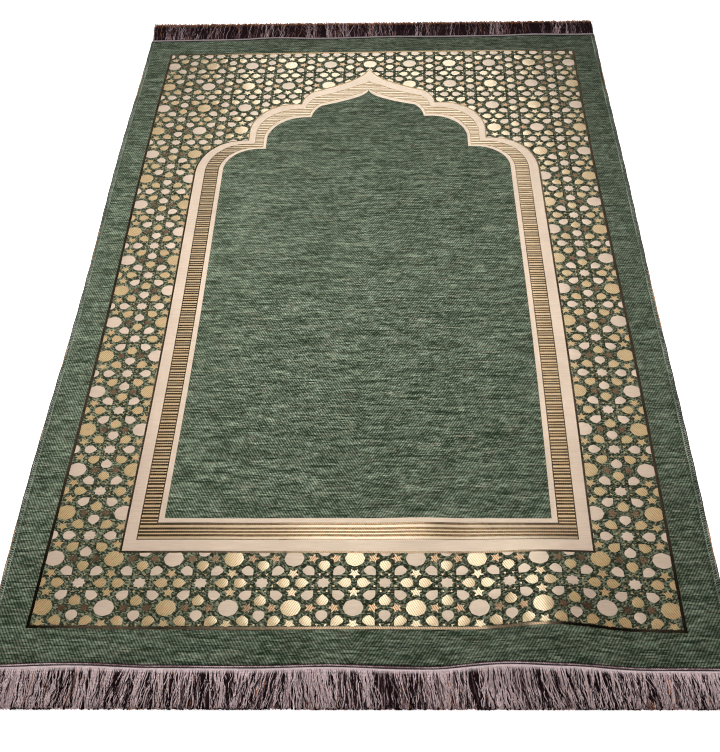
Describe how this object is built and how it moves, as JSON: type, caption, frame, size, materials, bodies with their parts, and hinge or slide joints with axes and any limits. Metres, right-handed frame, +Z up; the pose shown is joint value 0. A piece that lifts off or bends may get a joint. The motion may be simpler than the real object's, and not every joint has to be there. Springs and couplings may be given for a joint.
{
  "type": "prayer rug",
  "caption": "Flat woven prayer rug with a pointed-arch field, a star-lattice border and a fringe along each short end, low ripples at its front hem.",
  "frame": {"origin": "centre of the rug, on the surface that it lies on", "axes": "+X across the rug, +Y along it towards the end the woven arch points to, +Z up through its thickness"},
  "size_m": [0.6871, 1.2436, 0.0119],
  "materials": {
    "woven_cloth": "green chenille and metallic yarn, jacquard woven",
    "fringe_yarn": "loose mauve-grey twisted yarn"
  },
  "bodies": {
    "root": {"cloth": "woven_cloth", "fringe_front": "fringe_yarn", "fringe_back": "fringe_yarn"}
  },
  "joints": []
}
